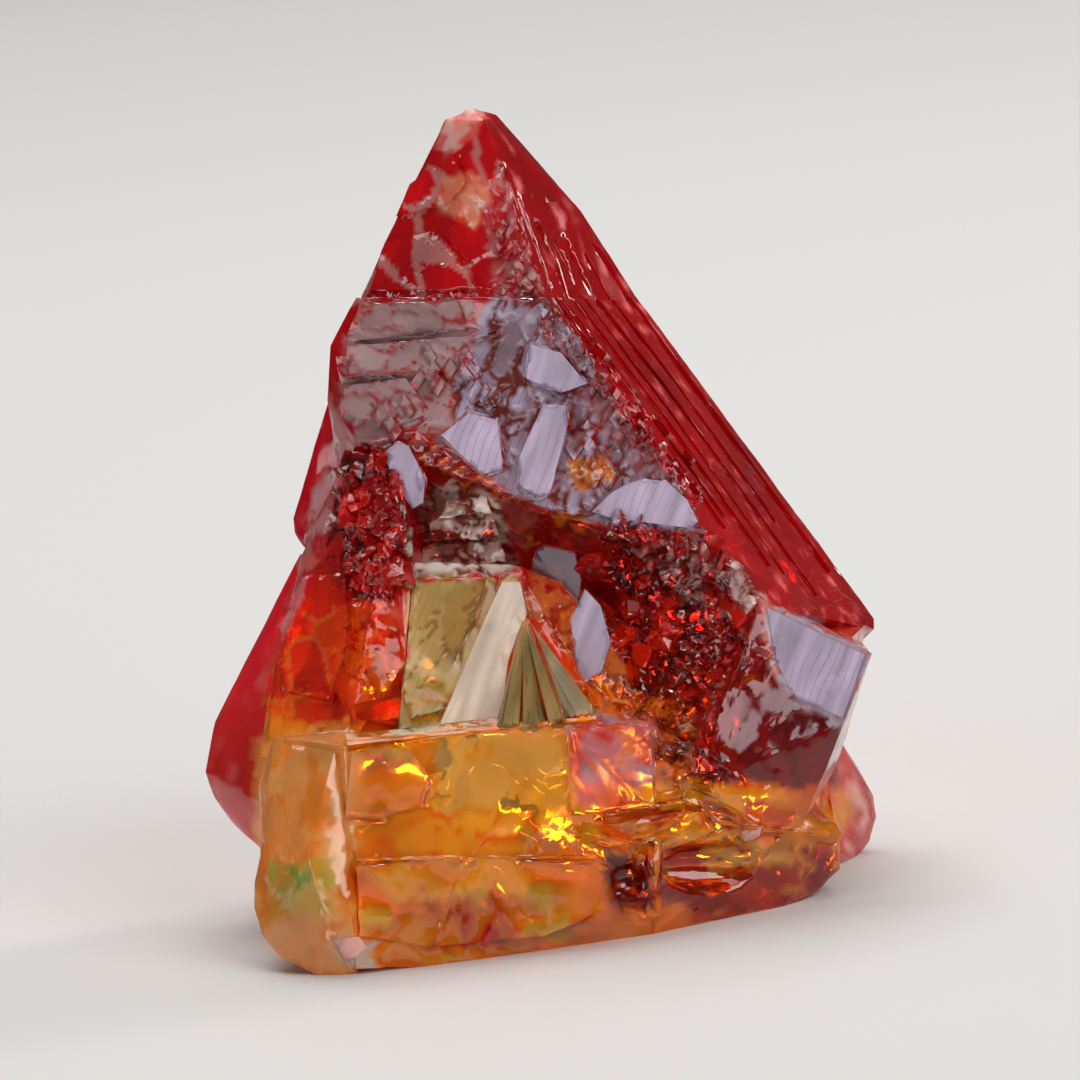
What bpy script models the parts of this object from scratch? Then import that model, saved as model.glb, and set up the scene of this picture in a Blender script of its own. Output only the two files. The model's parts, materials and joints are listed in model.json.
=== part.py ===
"""Sphalerite crystal: one cleaved, pyramid-shaped piece of rough gem, resting on its broken foot.

The crystal is drawn in millimetres as it is seen from the front: x to the right, y away from
the eye and z up. It is then turned to the way it rests, cut flat underneath and scaled to metres.
"""
import math
import random

import bmesh
import bpy
from mathutils import Euler, Matrix, Vector
from mathutils.bvhtree import BVHTree

NAME = "sphalerite_crystal"
NODE = "crystal"
MM = 0.001

# How the front view lies to the way the crystal rests
LOOK_DOWN = math.radians(9.0)
SIDE_LEAN = math.radians(6.0)
REST_CUT = 1.62

# The long ridge between the front and the right side, and the outline behind it
RIDGE_TOP = (-1.8, -0.5, 23.6)
RIDGE_KINK = (-0.15, -2.3, 18.7)
RIDGE_FOOT = (6.0, -3.7, 10.2)
REAR_TOP = (-1.5, 0.8, 23.85)
REAR_KINK = (2.5, 3.3, 18.7)
REAR_FOOT = (9.1, 3.4, 9.8)

# Slope in depth of the main cleavage, per millimetre to the right and up
CLEAVAGE = (-0.42, 0.02)

# The grown-together blocks, by their corners
TIP = (
    (-2.9, 0.4, 23.7), (-2.2, 0.3, 24.0), REAR_TOP, RIDGE_TOP, (-3.3, 0.5, 22.8),
    (-4.6, 0.8, 20.3), (-5.3, 1.0, 18.7), (-0.15, -1.9, 18.6), (0.85, 2.0, 21.2), REAR_KINK,
    (-2.2, 4.4, 18.6), (-1.9, 1.9, 22.8),
)
BAND = (
    (-5.4, 0.7, 18.75), (-6.1, 0.6, 17.4), (-6.2, 0.9, 15.9), RIDGE_KINK, RIDGE_FOOT, REAR_KINK,
    REAR_FOOT, (9.1, 3.0, 9.5), (-2.2, 4.4, 18.7), (-5.4, 0.0, 14.8), (-3.7, -1.0, 15.0),
    (-0.8, -2.6, 13.1), (1.4, -3.3, 12.5), (4.2, -4.2, 12.3), (-5.6, 3.0, 11.5),
    (-2.5, 7.2, 8.5), (6.5, 6.2, 7.0), (0.5, 1.2, 9.0), (5.0, -1.0, 9.4),
)
LEFT_FLANK = (
    (-5.7, 0.3, 14.5), (-4.2, -0.7, 14.3), (-3.8, -1.8, 11.5), (-6.9, 0.6, 11.6),
    (-7.4, -0.6, 9.6), (-7.8, -1.2, 7.6), (-8.0, -1.9, 6.0), (-5.6, -4.0, 6.2),
    (-4.0, -3.2, 8.6), (-3.6, 3.0, 14.0), (-5.4, 4.0, 5.0), (-2.0, 3.0, 5.0),
)
HEART = (
    (-3.8, -1.7, 11.4), (-0.9, -2.1, 11.3), (0.9, -1.7, 10.6), (2.4, -1.4, 9.4),
    (-4.2, -3.9, 6.3), (1.6, -4.1, 6.9), (2.9, -3.6, 6.6), (-4.0, 3.0, 11.5), (3.0, 3.0, 10.0),
    (-4.0, 3.0, 4.0), (3.0, 3.0, 4.0),
)
RIGHT_SHOULDER = (
    (1.6, -1.2, 12.3), (4.4, -3.2, 12.2), (5.6, -3.4, 10.4), (4.4, -3.5, 8.6), (2.6, -2.2, 8.2),
    (4.2, -3.4, 5.0), (2.6, -3.0, 4.4), (5.6, -2.8, 4.2), (7.6, 2.6, 4.2), (3.0, 4.0, 9.0),
    (8.4, 3.0, 7.6),
)
RIGHT_BLOCK = (
    (5.75, -3.9, 10.4), (8.8, -4.9, 8.9), (8.05, -4.6, 7.0), (6.7, -4.3, 7.5), (6.1, -4.0, 8.7),
    (6.9, -3.7, 4.1), (5.3, -3.6, 3.9), (3.9, -3.4, 5.1), (8.6, -0.6, 9.2), (7.9, -0.4, 5.6),
    (5.2, 1.5, 9.8), (5.2, 1.5, 4.2),
)
BASE = (
    (-5.6, -5.3, 6.35), (-7.6, -3.4, 6.6), (-8.0, -2.8, 5.4), (1.4, -5.4, 7.15),
    (2.9, -5.0, 6.9), (4.0, -4.4, 4.9), (6.9, -3.0, 4.2), (8.0, -2.0, 3.9), (8.0, -1.4, 2.9),
    (7.4, -1.7, 2.3), (6.4, -2.6, 1.9), (2.8, -4.6, 1.2), (-1.9, -5.6, 0.4), (-5.3, -6.0, 0.3),
    (-8.0, -3.2, 2.2), (-6.8, 2.6, 1.2), (6.4, 4.6, 2.9), (-2.0, 6.4, 2.3), (6.4, 4.8, 6.0),
    (-2.0, 6.8, 6.0), (-7.4, 2.8, 5.0),
)
LEFT_LOBE = (
    (-5.7, -5.6, 0.0), (-6.3, -5.4, 0.1), (-7.4, -4.8, 0.6), (-7.9, -4.2, 1.2), (-8.1, -3.8, 1.9),
    (-8.1, -3.6, 2.8), (-7.7, -3.9, 4.6), (-7.1, -4.0, 6.4), (-5.9, -5.2, 6.2), (-6.6, -6.1, 3.4),
    (-5.4, -6.3, 2.0), (-6.0, -6.2, 0.9), (-5.3, -5.8, 0.2), (-6.8, -2.0, 1.2), (-4.0, -4.0, 4.0),
    (-4.6, -3.6, 0.8),
)
REAR_LEFT = (
    (-7.0, 2.6, 11.6), (-7.6, 2.4, 10.4), (-8.2, 2.6, 9.2), (-9.4, 3.0, 6.9), (-9.65, 2.8, 5.5),
    (-9.4, 2.8, 4.8), (-8.9, 2.6, 4.1), (-8.0, 1.6, 3.3), (-4.0, 0.0, 12.0), (-4.4, 6.2, 9.4),
    (-5.2, 6.4, 4.2), (-3.0, 1.0, 3.0), (-6.4, 5.6, 3.6), (-7.0, -0.6, 4.0), (-7.2, 0.2, 8.6),
)
REAR_CORE = (
    (8.9, 2.9, 9.7), (8.4, 0.4, 9.3), (7.8, 2.4, 6.6), (7.6, 2.4, 4.4), (-2.4, 7.0, 8.8),
    (6.4, 6.0, 7.2), (-5.6, 5.4, 5.0), (-4.2, 3.4, 12.0), (4.2, 5.2, 12.0), (-0.4, 6.8, 4.0),
    (5.8, 5.2, 4.0), (5.0, -1.0, 9.6), (-5.0, 2.0, 4.0),
)
REAR_BUMP = (
    (-6.2, 2.8, 15.9), (-6.4, 3.0, 15.3), (-6.7, 3.0, 14.2), (-7.0, 3.1, 13.2), (-7.2, 3.2, 12.6),
    (-7.15, 3.2, 12.2), (-6.9, 2.9, 11.8), (-4.0, 1.5, 15.8), (-4.0, 5.6, 13.6), (-4.0, 4.8, 10.6),
)
REAR_RIGHT = (
    (7.6, 2.4, 7.2), (8.6, 4.0, 5.7), (9.1, 4.4, 4.8), (9.2, 4.4, 4.2), (9.0, 4.2, 3.5),
    (8.6, 3.8, 3.05), (8.1, 2.6, 2.75), (5.0, 1.0, 7.0), (5.0, 6.6, 6.4), (5.0, 6.2, 3.2),
    (5.0, 1.5, 2.4),
)


# Directions that the cleavage keeps through the whole crystal: up the striations, down the
# ridge, and out of the front
ALONG = Vector((0.54, -0.21, 0.84)).normalized()
ACROSS = Vector((0.585, -0.262, -0.81)).normalized()
OUT = Vector((-0.39, -0.92, 0.02)).normalized()

# Plates that stand proud of the front: how far, and the outline as (x, z)
FRONT_PLATES = {
    "top_plate": (0.14, ((-0.3, 18.5), (0.2, 18.3), (1.3, 16.9), (1.0, 16.6), (-0.2, 17.3))),
    "second_plate": (0.2, ((-0.6, 17.5), (0.3, 17.2), (1.1, 16.3), (0.3, 16.0), (-0.7, 16.4))),
    "left_terrace": (0.2, ((-5.3, 18.6), (-1.2, 18.65), (-1.4, 17.9), (-3.4, 17.7), (-5.7, 17.5))),
    "mid_terrace": (0.13, ((-5.6, 17.4), (-1.0, 17.75), (-0.9, 16.7), (-3.6, 16.6), (-5.7, 16.5))),
    "low_terrace": (0.18, ((-5.8, 16.3), (-4.0, 16.5), (-3.3, 15.5), (-4.4, 15.1), (-5.9, 15.5))),
    "lined_plate": (0.3, ((-2.3, 15.6), (-1.4, 15.4), (-1.25, 13.9), (-1.95, 13.7), (-3.1, 14.9))),
    "tall_plate": (0.34, ((-0.2, 15.8), (0.5, 15.75), (0.55, 15.2), (0.0, 13.2), (-0.3, 13.1),
                          (-0.9, 13.4), (-0.95, 14.2))),
    "half_moon": (0.26, ((1.1, 12.8), (1.65, 13.3), (2.5, 13.7), (3.2, 13.65), (3.8, 13.1),
                         (4.1, 12.5), (3.9, 12.3), (1.65, 12.6))),
    "flake": (0.5, ((-4.7, 14.4), (-4.2, 14.8), (-3.9, 14.65), (-3.4, 13.7), (-3.5, 13.0),
                    (-3.85, 12.8), (-4.2, 13.4))),
    "grey_oval": (0.9, ((-0.4, 11.8), (0.15, 12.0), (0.7, 11.7), (0.9, 10.9), (0.8, 10.1),
                        (0.5, 9.7), (-0.15, 10.2), (-0.6, 10.9))),
    "pale_oval": (0.8, ((0.95, 10.7), (1.4, 10.2), (1.7, 9.2), (1.4, 8.3), (0.9, 8.0),
                        (0.65, 8.65), (0.55, 9.8))),
    "crown_low": (0.8, ((-3.5, 11.9), (-1.4, 12.0), (-1.2, 11.4), (-3.7, 11.2))),
    "crown_mid": (0.6, ((-3.3, 12.6), (-1.6, 12.7), (-1.4, 12.1), (-3.5, 11.9))),
    "crown_top": (0.5, ((-2.9, 13.1), (-1.8, 13.3), (-1.6, 12.7), (-3.1, 12.6))),
}
# The two tall facets of the heart, which lean back
HEART_SLOPE = (-0.12, 0.45)
HEART_PLATES = {
    "olive_slab": (0.25, ((-3.75, 11.0), (-1.4, 11.0), (-1.6, 10.0), (-2.7, 7.4), (-3.85, 7.1),
                          (-4.05, 7.8), (-3.85, 9.2))),
    "silver_bar": (0.6, ((-1.35, 10.9), (-0.8, 10.9), (-0.6, 10.0), (-1.5, 6.8), (-3.2, 6.6),
                         (-2.6, 7.9), (-1.7, 10.1))),
}
# Plates that lie along the surface they stand on
LYING_PLATES = {
    "tip_upper": (0.14, ((-3.9, 21.9), (-2.7, 22.7), (-2.3, 21.9), (-2.9, 21.3), (-4.3, 21.0))),
    "tip_lower": (0.16, ((-4.6, 20.3), (-3.2, 20.6), (-2.3, 19.7), (-2.1, 18.95), (-5.1, 18.95))),
    "pale_streak": (0.3, ((-5.4, 7.5), (-4.0, 7.8), (-3.85, 7.2), (-4.2, 6.9), (-5.3, 7.1))),
    "left_facet": (0.25, ((-6.9, 11.0), (-5.7, 11.1), (-5.5, 9.2), (-6.0, 7.5), (-7.4, 7.8),
                          (-7.5, 8.6))),
    "knob": (0.3, ((4.9, 11.4), (5.5, 11.0), (5.4, 10.3), (4.9, 10.5))),
}
# Plates of the foot, which face the eye more squarely
FOOT_SLOPE = (0.05, -0.08)
FOOT_PLATES = {
    "square_facet": (0.45, ((0.4, 6.95), (2.5, 7.1), (2.8, 7.0), (2.9, 4.7), (0.55, 4.45))),
    "left_pane": (0.2, ((-5.4, 6.2), (-3.9, 6.4), (-3.2, 5.4), (-3.7, 4.2), (-5.6, 4.4))),
    "low_step": (0.28, ((-5.3, 3.1), (-2.2, 3.4), (1.3, 3.1), (1.5, 1.9), (-0.2, 1.2),
                        (-3.2, 0.9), (-5.2, 1.2))),
    "mid_rib": (0.2, ((1.7, 4.1), (4.2, 4.6), (4.6, 4.1), (3.2, 3.5), (1.9, 3.4))),
    "cream_flake": (0.2, ((5.1, 4.15), (5.9, 4.2), (5.8, 3.8), (5.3, 3.7))),
}
# Cleavage steps on the back
REAR_PLATES = {
    "rear_high": (0.2, ((-2.4, 18.0), (0.6, 18.3), (1.9, 16.4), (0.4, 15.2), (-2.9, 15.9))),
    "rear_step": (0.25, ((-3.2, 15.4), (0.0, 14.8), (1.2, 12.6), (-2.2, 11.8), (-3.6, 13.2))),
    "rear_wide": (0.22, ((1.6, 14.9), (4.4, 13.6), (5.8, 11.0), (3.2, 10.4), (1.4, 12.4))),
    "rear_left": (0.25, ((-6.4, 9.4), (-4.6, 10.0), (-4.0, 8.2), (-4.6, 6.4), (-6.9, 6.9))),
    "rear_mid": (0.2, ((-1.6, 9.2), (1.4, 9.9), (2.6, 8.2), (0.2, 6.9), (-1.9, 7.4))),
    "rear_low": (0.2, ((3.6, 9.0), (6.2, 8.6), (6.6, 7.2), (4.4, 6.6))),
}
# Strips of rough, chipped surface: from, to, how wide, how many chips, their size
CHIPPED = (
    ((-1.5, 20.6), (-0.5, 18.9), 0.6, 10, 0.24),
    ((-0.1, 18.0), (4.0, 13.2), 0.9, 38, 0.34),
    ((-3.6, 16.9), (-1.2, 16.2), 1.0, 12, 0.28),
    ((-5.4, 15.6), (-3.8, 15.4), 0.8, 8, 0.28),
    ((0.9, 15.0), (1.4, 13.7), 0.6, 7, 0.34),
    ((0.2, 8.0), (2.6, 7.4), 0.7, 9, 0.34),
)
# Rougher strips, whose chips lie every way
BROKEN = (
    ((-5.2, 13.8), (-4.6, 10.8), 1.4, 24, 0.42),
    ((1.4, 12.0), (4.6, 10.8), 1.5, 26, 0.42),
    ((2.0, 10.2), (4.6, 8.6), 1.7, 26, 0.44),
    ((3.0, 7.6), (4.4, 5.6), 1.2, 12, 0.4),
    ((2.2, 3.4), (2.4, 1.9), 0.6, 6, 0.34),
)
REAR_CHIPPED = (
    ((-3.0, 17.4), (-3.4, 12.6), 0.9, 10, 0.42),
    ((2.8, 15.4), (6.4, 9.8), 0.9, 12, 0.4),
    ((-2.6, 9.6), (-3.0, 5.6), 1.0, 9, 0.45),
    ((3.2, 9.4), (1.0, 5.8), 0.9, 9, 0.45),
)


BLOCKS = {
    "tip": TIP, "left_flank": LEFT_FLANK, "heart": HEART, "right_shoulder": RIGHT_SHOULDER,
    "right_block": RIGHT_BLOCK, "base": BASE, "left_lobe": LEFT_LOBE, "rear_left": REAR_LEFT,
    "rear_core": REAR_CORE, "rear_bump": REAR_BUMP, "rear_right": REAR_RIGHT,
}
# Hollows: place in the front (-1) or back (1) view, and half sizes
HOLLOWS = {
    "window": (5.2, 3.0, -1, (2.5, 0.9, 0.85)),
    "void": (2.1, 2.7, -1, (0.55, 0.7, 0.6)),
    "rear_shell": (2.6, 11.4, 1, (2.3, 0.6, 1.5)),
    "rear_scoop": (-4.4, 5.6, 1, (1.6, 0.6, 1.1)),
    "rear_dish": (3.6, 5.0, 1, (1.8, 0.6, 1.1)),
}
GROOVE_PLACES = (0.08, 0.17, 0.3, 0.41, 0.55, 0.72, 0.88)
GROOVE_SIZE = (0.14, 0.3)
# Where a groove starts, bends and ends, as shares of the face's length, and how it swells
GROOVE_DRIFT = 0.03
GROOVE_START = (0.15, 0.7)
GROOVE_BEND = (0.35, 0.6)
GROOVE_END = (0.5, 0.95)
GROOVE_SWELL = (0.7, 1.0, 1.1)
HOLLOW_SINK = 0.62
CHIP_SHARES = (0.45, 1.1)
CHIP_SLANT = 0.25
CHIP_FLATNESS = 0.7
FAN_RADIUS = 0.26
FAN_PROUD = (0.15, 0.1)
RIB_RADIUS = 0.3
RIB_PROUD = 0.05
FAN_TOP = (-0.75, 10.0)
FAN_ENDS = ((-1.1, 6.9), (-0.5, 6.9), (0.2, 7.0), (0.9, 7.2))
FOOT_RIBS = {
    "loop": ((1.5, 4.5), (3.9, 4.9), (5.2, 4.2), (7.8, 3.9)),
    "low_loop": ((0.9, 4.0), (2.4, 3.7), (3.8, 4.0)),
    "post": ((2.9, 3.6), (2.8, 1.8)),
    "edge": ((-5.5, 6.4), (1.3, 7.15)),
}
SEED = 7
FAR = 60.0
OVERLAP = 0.07
STEEPEST = 1.2
ROOT_DEPTH = 1.2
ROOT_NARROWING = 0.85


def clear_scene():
    for thing in list(bpy.data.objects):
        bpy.data.objects.remove(thing, do_unlink=True)


def new_collection(name):
    made = bpy.data.collections.new(name)
    bpy.context.scene.collection.children.link(made)
    return made


def add_mesh(name, bm, home):
    mesh = bpy.data.meshes.new(name)
    bm.to_mesh(mesh)
    bm.free()
    thing = bpy.data.objects.new(name, mesh)
    home.objects.link(thing)
    return thing


def block(name, corners, home):
    """One flat-faced block: the tightest skin around its corners."""
    bm = bmesh.new()
    for corner in corners:
        bm.verts.new(corner)
    skin = bmesh.ops.convex_hull(bm, input=bm.verts)
    inside = [item for item in skin["geom_interior"] if isinstance(item, bmesh.types.BMVert)]
    bmesh.ops.delete(bm, geom=inside, context="VERTS")
    bmesh.ops.dissolve_limit(bm, angle_limit=math.radians(2.0), verts=bm.verts, edges=bm.edges)
    bmesh.ops.recalc_face_normals(bm, faces=bm.faces)
    return add_mesh(name, bm, home)


def combine(body, home, operation):
    """Joins everything in a collection to the body, or cuts it away."""
    change = body.modifiers.new(operation.title(), "BOOLEAN")
    change.operation = operation
    change.solver = "EXACT"
    change.use_self = True
    change.operand_type = "COLLECTION"
    change.collection = home
    shape = body.evaluated_get(bpy.context.evaluated_depsgraph_get())
    made = bpy.data.meshes.new_from_object(shape)
    body.modifiers.clear()
    body.data = made
    for thing in list(home.objects):
        bpy.data.objects.remove(thing, do_unlink=True)


def surface(body):
    """Finds points on the body as it is now."""
    bm = bmesh.new()
    bm.from_mesh(body.data)
    tree = BVHTree.FromBMesh(bm)
    bm.free()
    return tree


def depth_at(tree, x, z, side):
    """How deep the surface lies at a place of the front (side -1) or back (side 1) view."""
    hit = tree.ray_cast(Vector((x, side * FAR, z)), Vector((0, -side, 0)))
    return hit[0].y if hit[0] else 0.0


def slope_at(tree, x, z, side):
    """How the surface slopes in depth at a place, per millimetre to the right and up."""
    hit = tree.ray_cast(Vector((x, side * FAR, z)), Vector((0, -side, 0)))
    normal = hit[1]
    steep = [-normal.x / normal.y, -normal.z / normal.y]
    return [max(-STEEPEST, min(STEEPEST, value)) for value in steep]


def plate(name, tree, proud, outline, slope, side, home):
    """A flat plate that stands a little proud of the surface and is rooted in it."""
    cx = sum(point[0] for point in outline) / len(outline)
    cz = sum(point[1] for point in outline) / len(outline)
    level = depth_at(tree, cx, cz, side) + side * proud
    if slope is None:
        slope = slope_at(tree, cx, cz, side)
    corners = []
    for x, z in outline:
        face = level + slope[0] * (x - cx) + slope[1] * (z - cz)
        corners.append((x, face, z))
        root_x = cx + (x - cx) * ROOT_NARROWING
        root_z = cz + (z - cz) * ROOT_NARROWING
        corners.append((root_x, face - side * ROOT_DEPTH, root_z))
    return block(name, corners, home)


def any_turn():
    """A random rotation."""
    angles = [random.uniform(0.0, math.tau) for _ in range(3)]
    return Euler(angles).to_matrix()


def chip(name, centre, size, home, turned):
    """A small cleavage chip along the crystal's own directions, or turned any way."""
    half = [size * random.uniform(*CHIP_SHARES) for _ in range(3)]
    slant = random.uniform(-CHIP_SLANT, CHIP_SLANT)
    turn = any_turn() if turned else Matrix.Identity(3)
    corners = []
    for a in (-1, 1):
        for b in (-1, 1):
            for c in (-1, 1):
                step = ALONG * (a * half[0] + slant * half[2] * c) + ACROSS * (b * half[1])
                corners.append(centre + turn @ (step + OUT * (c * half[2] * CHIP_FLATNESS)))
    return block(name, corners, home)


def chipped_strip(tree, side, turned, start, end, width, count, size, home):
    """Chips scattered over a strip of the front or the back."""
    sideways = Vector((end[1] - start[1], start[0] - end[0])).normalized()
    for number in range(count):
        part = (number + random.random()) / count
        off = random.uniform(-0.5, 0.5) * width
        x = start[0] + (end[0] - start[0]) * part + sideways.x * off
        z = start[1] + (end[1] - start[1]) * part + sideways.y * off
        centre = Vector((x, depth_at(tree, x, z, side), z))
        chip(f"chip_{x:.2f}_{z:.2f}", centre, size, home, turned)


def bar(name, start, end, radius, home):
    """A long four-sided bar, for ribs and grooves."""
    start = Vector(start)
    end = Vector(end)
    run = (end - start).normalized()
    side = run.cross(Vector((0, 0, 1))).normalized()
    up = run.cross(side)
    corners = []
    for point in (start - run * OVERLAP, end + run * OVERLAP):
        for way in (side, -side, up, -up):
            corners.append(point + way * radius)
    return block(name, corners, home)


def side_grooves(tree, cutters):
    """Long uneven grooves down the right side, beside the ridge."""
    levels = ((RIDGE_TOP, REAR_TOP), (RIDGE_KINK, REAR_KINK), (RIDGE_FOOT, REAR_FOOT))
    for number, part in enumerate(GROOVE_PLACES):
        path = []
        for front, rear in levels:
            place = part + random.uniform(-GROOVE_DRIFT, GROOVE_DRIFT)
            path.append(tree.find_nearest(Vector(front).lerp(Vector(rear), place))[0])
        size = random.uniform(*GROOVE_SIZE)
        start = path[0].lerp(path[1], random.uniform(*GROOVE_START))
        middle = tree.find_nearest(path[1].lerp(path[2], random.uniform(*GROOVE_BEND)))[0]
        end = middle.lerp(path[2], random.uniform(*GROOVE_END))
        bar(f"groove_a_{number}", start, path[1], size * GROOVE_SWELL[0], cutters)
        bar(f"groove_b_{number}", path[1], middle, size * GROOVE_SWELL[1], cutters)
        bar(f"groove_c_{number}", middle, end, size * GROOVE_SWELL[2], cutters)


def ball(name, centre, size, home):
    bm = bmesh.new()
    bmesh.ops.create_icosphere(bm, subdivisions=3, radius=1.0)
    bmesh.ops.scale(bm, vec=size, verts=bm.verts)
    bmesh.ops.translate(bm, vec=centre, verts=bm.verts)
    return add_mesh(name, bm, home)


def hollows(tree, cutters):
    """Shell-shaped hollows broken out of the foot, the left flank and the back."""
    for name, (x, z, side, size) in HOLLOWS.items():
        depth = depth_at(tree, x, z, side) + side * size[1] * HOLLOW_SINK
        ball(name, (x, depth, z), size, cutters)


def fan(tree, parts):
    """Striations that spread down from the top of the silver bar."""
    top = Vector((FAN_TOP[0], depth_at(tree, *FAN_TOP, -1) - FAN_PROUD[0], FAN_TOP[1]))
    for number, (x, z) in enumerate(FAN_ENDS):
        end = Vector((x, depth_at(tree, x, z, -1) - FAN_PROUD[1], z))
        bar(f"fan_{number}", top, end, FAN_RADIUS, parts)


def foot_ribs(tree, parts):
    """Raised ribs that run across the front of the foot."""
    for name, path in FOOT_RIBS.items():
        points = [Vector((x, depth_at(tree, x, z, -1) - RIB_PROUD, z)) for x, z in path]
        for number in range(len(points) - 1):
            bar(f"{name}_{number}", points[number], points[number + 1], RIB_RADIUS, parts)


def drop_loose(bm):
    """Drops the shards that the cuts left loose: only the largest body stays."""
    left = set(bm.verts)
    bodies = []
    while left:
        found = {left.pop()}
        edge_of = list(found)
        while edge_of:
            vert = edge_of.pop()
            for edge in vert.link_edges:
                other = edge.other_vert(vert)
                if other not in found:
                    found.add(other)
                    edge_of.append(other)
        left -= found
        bodies.append(found)
    bodies.sort(key=len)
    for shard in bodies[:-1]:
        bmesh.ops.delete(bm, geom=list(shard), context="VERTS")


def settle(body):
    """Turns the front view to the way the crystal rests, cuts its flat foot, scales to metres."""
    turn = Matrix.Rotation(-LOOK_DOWN, 4, "X") @ Matrix.Rotation(SIDE_LEAN, 4, "Y")
    bm = bmesh.new()
    bm.from_mesh(body.data)
    bmesh.ops.transform(bm, matrix=turn, verts=bm.verts)
    cut = bmesh.ops.bisect_plane(
        bm, geom=bm.verts[:] + bm.edges[:] + bm.faces[:], plane_co=(0, 0, REST_CUT),
        plane_no=(0, 0, -1), clear_outer=True)
    rim = [item for item in cut["geom_cut"] if isinstance(item, bmesh.types.BMEdge)]
    bmesh.ops.contextual_create(bm, geom=rim)
    drop_loose(bm)
    bmesh.ops.triangulate(bm, faces=bm.faces)
    bmesh.ops.recalc_face_normals(bm, faces=bm.faces)
    lows = [min(vert.co[axis] for vert in bm.verts) for axis in range(3)]
    highs = [max(vert.co[axis] for vert in bm.verts) for axis in range(3)]
    middle = Vector(((lows[0] + highs[0]) / 2, (lows[1] + highs[1]) / 2, lows[2]))
    bmesh.ops.translate(bm, vec=-middle, verts=bm.verts)
    bmesh.ops.scale(bm, vec=(MM, MM, MM), verts=bm.verts)
    bm.to_mesh(body.data)
    bm.free()


def red_sphalerite():
    """Clear deep red, glossy, with sphalerite's high refraction."""
    made = bpy.data.materials.new("sphalerite")
    made.use_nodes = True
    surface_node = made.node_tree.nodes["Principled BSDF"]
    surface_node.inputs["Base Color"].default_value = (0.62, 0.05, 0.02, 1.0)
    surface_node.inputs["Roughness"].default_value = 0.12
    surface_node.inputs["Metallic"].default_value = 0.0
    surface_node.inputs["IOR"].default_value = 2.37
    surface_node.inputs["Transmission Weight"].default_value = 0.6
    return made


def grow_blocks(body, parts):
    for name, corners in BLOCKS.items():
        block(name, corners, parts)
    combine(body, parts, "UNION")


def grow_details(body, parts):
    tree = surface(body)
    for name, (proud, outline) in FRONT_PLATES.items():
        plate(name, tree, proud, outline, CLEAVAGE, -1, parts)
    for name, (proud, outline) in FOOT_PLATES.items():
        plate(name, tree, proud, outline, FOOT_SLOPE, -1, parts)
    for name, (proud, outline) in LYING_PLATES.items():
        plate(name, tree, proud, outline, None, -1, parts)
    for name, (proud, outline) in REAR_PLATES.items():
        plate(name, tree, proud, outline, None, 1, parts)
    for name, (proud, outline) in HEART_PLATES.items():
        plate(name, tree, proud, outline, HEART_SLOPE, -1, parts)
    for strip in CHIPPED:
        chipped_strip(tree, -1, False, *strip, parts)
    for strip in BROKEN:
        chipped_strip(tree, -1, True, *strip, parts)
    for strip in REAR_CHIPPED:
        chipped_strip(tree, 1, True, *strip, parts)
    fan(tree, parts)
    foot_ribs(tree, parts)
    combine(body, parts, "UNION")


def break_away(body, cutters):
    tree = surface(body)
    side_grooves(tree, cutters)
    hollows(tree, cutters)
    combine(body, cutters, "DIFFERENCE")


def main():
    random.seed(SEED)
    clear_scene()
    home = new_collection(NAME)
    parts = new_collection("grown_on")
    cutters = new_collection("cutters")
    body = block(NODE, BAND, home)
    grow_blocks(body, parts)
    grow_details(body, parts)
    break_away(body, cutters)
    settle(body)
    body.data.materials.clear()
    body.data.materials.append(red_sphalerite())


main()
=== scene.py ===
"""The sphalerite crystal: finer surface, clear red to golden material, camera and soft studio light."""

import json
import math
import random

import bmesh
import bpy
from mathutils import Euler, Matrix, Vector, noise
from mathutils.bvhtree import BVHTree

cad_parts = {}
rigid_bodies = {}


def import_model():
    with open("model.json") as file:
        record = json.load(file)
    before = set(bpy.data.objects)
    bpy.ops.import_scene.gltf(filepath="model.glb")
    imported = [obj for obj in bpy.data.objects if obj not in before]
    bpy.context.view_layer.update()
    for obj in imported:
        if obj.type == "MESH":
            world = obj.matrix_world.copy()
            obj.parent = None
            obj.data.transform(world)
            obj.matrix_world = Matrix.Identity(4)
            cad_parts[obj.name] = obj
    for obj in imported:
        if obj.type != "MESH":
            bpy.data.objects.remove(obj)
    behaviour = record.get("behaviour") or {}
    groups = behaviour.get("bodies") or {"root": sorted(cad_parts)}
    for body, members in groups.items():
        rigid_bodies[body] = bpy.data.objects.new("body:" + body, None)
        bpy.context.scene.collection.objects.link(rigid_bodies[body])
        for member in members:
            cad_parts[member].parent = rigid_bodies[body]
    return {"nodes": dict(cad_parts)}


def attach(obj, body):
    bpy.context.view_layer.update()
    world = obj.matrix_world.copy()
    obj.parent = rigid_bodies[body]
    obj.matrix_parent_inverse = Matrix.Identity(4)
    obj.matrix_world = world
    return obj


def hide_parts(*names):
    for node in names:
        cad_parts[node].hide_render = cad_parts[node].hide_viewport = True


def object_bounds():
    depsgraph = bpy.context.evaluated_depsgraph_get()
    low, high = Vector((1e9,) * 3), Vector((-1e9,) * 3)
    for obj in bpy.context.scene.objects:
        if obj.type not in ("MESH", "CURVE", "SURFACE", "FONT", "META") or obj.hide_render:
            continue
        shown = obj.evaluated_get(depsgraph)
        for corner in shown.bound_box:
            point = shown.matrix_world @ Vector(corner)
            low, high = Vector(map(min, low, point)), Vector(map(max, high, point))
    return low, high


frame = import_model()
cad_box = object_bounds()
random.seed(31)

MM = 0.001
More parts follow.
